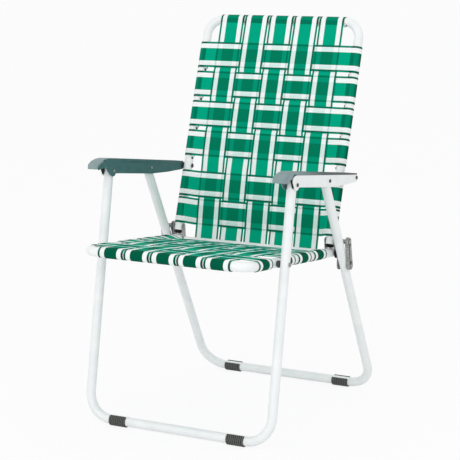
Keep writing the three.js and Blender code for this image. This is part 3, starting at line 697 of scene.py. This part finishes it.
def snap_foot(name, x, foot, body, turn):
    inner, outer = TUBE_R + FOOT_PLAY, TUBE_R + FOOT_WALL + FOOT_RIB_HEIGHT
    mouth = math.degrees(math.asin(FOOT_MOUTH / outer))
    sides = 56
    angles = [90 + turn + mouth + (360 - 2 * mouth) * k / sides for k in range(sides + 1)]
    pitch = FOOT_LENGTH / FOOT_RIBS
    rows = [(-FOOT_LENGTH / 2, outer - FOOT_END_DROP)]
    for k in range(FOOT_RIBS):
        start = -FOOT_LENGTH / 2 + k * pitch
        rows += [(start + pitch * t, outer - d) for t, d in FOOT_RIB]
    rows.append((FOOT_LENGTH / 2, outer - FOOT_END_DROP))
    rows += [(FOOT_LENGTH / 2 - FOOT_LIP, inner), (-FOOT_LENGTH / 2 + FOOT_LIP, inner)]
    points = []
    for d, r in rows:
        for a in angles:
            p = foot + heading(a) * r
            points.append((x + d, p.x, max(p.y, SOLE if r > inner else 0.0)))
    size, count = len(angles), len(rows)
    faces = rings_to_faces(count, size, False)
    faces += [((count - 1) * size + j, (count - 1) * size + j + 1, j + 1, j) for j in range(size - 1)]
    faces += [tuple(i * size for i in range(count)), tuple(i * size + size - 1 for i in range(count))[::-1]]
    obj = piece(name + "_ribbed", points, faces, RUBBER, 40)
    obj.data.materials.append(GROOVE_SHADE)
    # Groove faces take the near-black rubber as painted shade
    grooves = {i for i, (d, r) in enumerate(rows) if inner < r < outer - 0.2}
    for face in obj.data.polygons:
        if sum(k // size in grooves for k in face.vertices) >= 2 and len(face.vertices) == 4:
            face.material_index = 1
    stand_for(obj, body, name)


for side, way in SIDES:
    snap_foot(side + "front_foot", way * FOOT_X, front_foot, "front_legs", FRONT_FOOT_TURN)
    snap_foot(side + "rear_foot", way * FOOT_X, rear_foot, "rear_legs", REAR_FOOT_TURN)


# Sheet metal and mouldings keep their solids, with softened edges
def soften(node, material, width, angle=32):
    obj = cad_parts[node]
    obj.data.materials.clear()
    obj.data.materials.append(material)
    obj.data.shade_smooth()
    flat = obj.modifiers.new("merge_flats", "DECIMATE")
    flat.decimate_type = "DISSOLVE"
    flat.angle_limit = math.radians(1.5)
    edge = obj.modifiers.new("edge_radius", "BEVEL")
    edge.width = width * MM
    edge.segments = 3
    edge.limit_method = "ANGLE"
    edge.angle_limit = math.radians(angle)
    edge.harden_normals = False


for side in ("left_", "right_"):
    soften(side + "armrest", MOULDING, 0.8)
    soften(side + "arm_side_plate", WHITE, 0.5)
    for node in ("hinge_plate_inner", "hinge_plate_outer", "lock_link_inner"):
        soften(side + node, ZINC, 0.4)


# Pressed outer lock links: a rolled rim round a trough painted dark as shade, with a rib along its rear half
def bone(a, b, radius, waist, steps=14):
    line = b - a
    turn = math.degrees(math.atan2(line.y, line.x))
    beside = Vector((-line.y, line.x)).normalized()
    points = [a + heading(turn + 90 + 180 * k / steps) * radius for k in range(steps + 1)]
    points += [a + line * share - beside * waist for share in (0.3, 0.5, 0.7)]
    points += [b + heading(turn - 90 + 180 * k / steps) * radius for k in range(steps + 1)]
    points += [a + line * share + beside * waist for share in (0.7, 0.5, 0.3)]
    return points


def pressed(layers, way):
    points = [(way * x, p.x, p.y) for x, outline in layers for p in outline]
    size, count = len(layers[0][1]), len(layers)
    faces = rings_to_faces(count, size)
    faces += [tuple(range(size))[::-1], tuple(range((count - 1) * size, count * size))]
    return points, faces


RIM = [(-1.8, 0), (3.4, 0), (4.6, 0.4), (5.2, 1.1), (5.2, 2.3), (5.0, 3.0), (LINK_FLOOR, 3.4)]
RIB = [(LINK_FLOOR - 0.4, 3.6), (5.0, 3.4), (5.4, 2.9), (5.5, 1.8)]
RIB_BACK, RIB_SPAN, TROUGH_LAYER = 2.2, (0.22, 0.78), 5
link_line = (link_foot - link_top).normalized()
rib_shift = Vector((-link_line.y, link_line.x)) * RIB_BACK
for side, way in SIDES:
    middle = [link_top.lerp(link_foot, share) + rib_shift for share in RIB_SPAN]
    rim = [(link_out + x, bone(link_top, link_foot, LINK_END_R - d, LINK_WAIST - d)) for x, d in RIM]
    rib = [(link_out + x, bone(*middle, r, r)) for x, r in RIB]
    points, faces = pressed(rim, way)
    more, more_faces = pressed(rib, way)
    faces += [tuple(i + len(points) for i in face) for face in more_faces]
    obj = piece(side + "lock_link_outer_pressed", points + more, faces, ZINC, 40)
    obj.data.materials.append(RIVET)
    # The trough's faces take the dark rivet steel as painted shade
    trough = range(TROUGH_LAYER * len(rim[0][1]), len(points))
    for face in obj.data.polygons:
        if all(k in trough for k in face.vertices):
            face.material_index = 1
    stand_for(obj, "lock_links", side + "lock_link_outer")


# Screws that hold the strap ends to the tubes, on the tubes' inner sides. The lowest strap shows none,
# because the inner hinge plate lies there. The top bar's small dark screw heads, given as x and size, are
# painted shade of the tube's lower edge in the gaps between its straps.
SCREW = [(-1.2, 1.6), (0, 1.6), (0, 3.0), (0.5, 3.0), (1.1, 2.5), (1.5, 1.4), (1.55, 0.4)]
LEAST_SPACE, BELOW_STRAP, SCREW_TILT = 7.0, 5.5, 0.35
TOP_SHADE_MARKS = ((-WEB_PITCH / 2, 0.34), (WEB_PITCH * 1.5, 0.34), (columns[-1] + half_web + 5, 0.8))


def screw(name, point, axis, body, size=1.0):
    lathe(name, [(d, r * size) for d, r in SCREW], point, axis, RIVET, body, None, 20)


back_normal = in_space(0, back_front)
for i, reach in enumerate(BACK_ROWS[:-1]):
    space = reach - BACK_ROWS[i + 1] - WEB_W
    if space < LEAST_SPACE:
        continue
    middle = link_top + back_axis * (reach - half_web - min(space / 2, BELOW_STRAP))
    for side, way in SIDES:
        axis = (Vector((-way, 0, 0)) + back_normal * SCREW_TILT).normalized()
        point = in_space(way * FRAME_X, middle) + axis * TUBE_R
        screw("back_%sscrew_%d" % (side, i + 1), point, axis, "back")

# Small dark heads on the top bar: painted shade of the tube's lower edge in the gaps between straps
for k, (x, size) in enumerate(TOP_SHADE_MARKS):
    axis = in_space(0, back_front * 0.5 - back_axis).normalized()
    screw("top_bar_shade_mark_%d" % (k + 1), in_space(x, back_top) + axis * TUBE_R, axis, "back", size)

# Heads of the seat pins on the outside of the front legs
for side, way in SIDES:
    head = outer_head(leg_out - GAP, INNER_HEAD_R)
    lathe(side + "seat_pin_head", head, in_space(0, seat_pivot), Vector((way, 0, 0)), ZINC,
          "front_legs", None)


# Front of the armrest moulding: a cheek behind the white plate's rim and the two side walls of the nose,
# outlined in millimetres along and above the arm's axis
arm_up = Vector((arm_axis.y, -arm_axis.x))


def arm_prism(name, way, outline, x0, x1, material):
    points = [in_space(way * x, arm_rear + arm_axis * a + arm_up * n) for x in (x0, x1) for a, n in outline]
    count = len(outline)
    faces = rings_to_faces(2, count) + [tuple(range(count))[::-1], tuple(range(count, 2 * count))]
    obj = piece(name, points, faces, material)
    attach(obj, "arms")


CHEEK = [(297.5, 18.4), (303, 18.2), (308.3, 16.3), (311.4, 11.6), (310.9, 5.6), (308.4, 1.6), (305.6, -2.6),
         (303, -7), (302.4, -6.4), (304.3, -2), (304.9, 2), (303.6, 7), (300.6, 11.4), (296.5, 14)]
NOSE_WALL = [(303, 23.2), (312, 24.6), (328, 23.6), (341, 19.9), (351, 14.4), (357.2, 7.2), (352, 5.2),
             (342, 5.0), (334, 7.5), (326, 10.6), (319, 12.2), (316, 13.8), (312.6, 18.8), (306, 21.8)]
NOSE_INNER = [(329, 23), (339.5, 20.8), (347.5, 15.6), (355, 8.4), (351.6, 4.6), (342, 7.0), (334, 7.4),
              (327, 8.6), (325, 12)]
WALL_FROM, WALL_TO, CHEEK_OUT, CHEEK_IN = 0.4, 2.2, 0.25, 4.2
for side, way in SIDES:
    arm_prism(side + "nose_inner_wall", way, NOSE_INNER, arm_in + WALL_FROM, arm_in + WALL_TO, SKIRT)
    arm_prism(side + "arm_cheek", way, CHEEK, leg_out + CHEEK_OUT, leg_out - CHEEK_IN, SHADED)
    # The outer nose wall takes the moulding copy whose sides are painted light
    arm_prism(side + "nose_wall", way, NOSE_WALL, arm_out - WALL_FROM, arm_out - WALL_TO, LIT_MOULDING)

# Stage: floor, camera and soft light. Floor and sky are white to the eye and lower as light.
FLOOR_HALF, FLOOR_GREY, FLOOR_WHITE, SKY_LIGHT = 40, 0.9, 0.88, 0.78
AZIMUTH, ELEVATION, DISTANCE = math.radians(28.37), math.radians(9.98), 3.4047
TARGET, SENSOR, FOCAL_PX, PHOTO_PX = (0, -0.0032, 0.3983), 36, 1572.1, 460
LAMP_AIM = (0, 0, 0.45)


def seen_directly(tree):
    path = tree.nodes.new("ShaderNodeLightPath")
    seen = path.outputs["Is Camera Ray"]
    for ray in ("Is Glossy Ray", "Is Transmission Ray"):
        either = tree.nodes.new("ShaderNodeMath")
        either.operation = "MAXIMUM"
        tree.links.new(seen, either.inputs[0])
        tree.links.new(path.outputs[ray], either.inputs[1])
        seen = either.outputs[0]
    return seen


floor_mesh = bpy.data.meshes.new("floor")
edges = ((-1, -1), (1, -1), (1, 1), (-1, 1))
floor_mesh.from_pydata([(x * FLOOR_HALF, y * FLOOR_HALF, 0) for x, y in edges], [], [(0, 1, 2, 3)])
floor = bpy.data.objects.new("floor", floor_mesh)
scene.collection.objects.link(floor)
paper = Shader("pale_floor")
paper.set(Base_Color=(FLOOR_GREY, FLOOR_GREY, FLOOR_GREY, 1), Roughness=0.9)
white = paper.node("ShaderNodeEmission")
white.inputs["Strength"].default_value = 1.0
blend = paper.node("ShaderNodeMixShader")
paper.link(paper.math("MULTIPLY", seen_directly(paper.tree), FLOOR_WHITE), blend.inputs[0])
paper.link(paper.base.outputs[0], blend.inputs[1])
paper.link(white.outputs[0], blend.inputs[2])
paper.link(blend.outputs[0], paper.tree.nodes["Material Output"].inputs["Surface"])
floor_mesh.materials.append(paper.material)

level_part = math.cos(ELEVATION)
toward = Vector((math.sin(AZIMUTH) * level_part, -math.cos(AZIMUTH) * level_part, math.sin(ELEVATION)))
camera_data = bpy.data.cameras.new("camera")
camera_data.lens = SENSOR * FOCAL_PX / PHOTO_PX
camera_data.sensor_width = SENSOR
camera = bpy.data.objects.new("camera", camera_data)
camera.location = Vector(TARGET) + toward * DISTANCE
camera.rotation_euler = (-toward).to_track_quat("-Z", "Y").to_euler()
scene.collection.objects.link(camera)
scene.camera = camera

world = bpy.data.worlds.new("studio")
world.use_nodes = True
sky = world.node_tree
level = sky.nodes.new("ShaderNodeMapRange")
level.inputs["To Min"].default_value = SKY_LIGHT
level.inputs["To Max"].default_value = 1.0
sky.links.new(seen_directly(sky), level.inputs["Value"])
sky.links.new(level.outputs[0], sky.nodes["Background"].inputs["Strength"])
sky.nodes["Background"].inputs["Color"].default_value = (1, 1, 1, 1)
scene.world = world
scene.view_settings.view_transform = "Standard"


def area_light(name, place, size, power):
    data = bpy.data.lights.new(name, "AREA")
    data.shape = "DISK"
    data.size = size
    data.energy = power
    light = bpy.data.objects.new(name, data)
    light.location = place
    light.rotation_euler = (Vector(LAMP_AIM) - Vector(place)).to_track_quat("-Z", "Y").to_euler()
    scene.collection.objects.link(light)


area_light("key", (-0.9, -3.2, 2.2), 2.4, 17)
area_light("fill", (2.8, -1.8, 1.6), 2.0, 13)
area_light("low", (0.4, -2.8, 0.5), 1.6, 6.5)
area_light("top", (0.2, 0.1, 3.0), 2.0, 5)
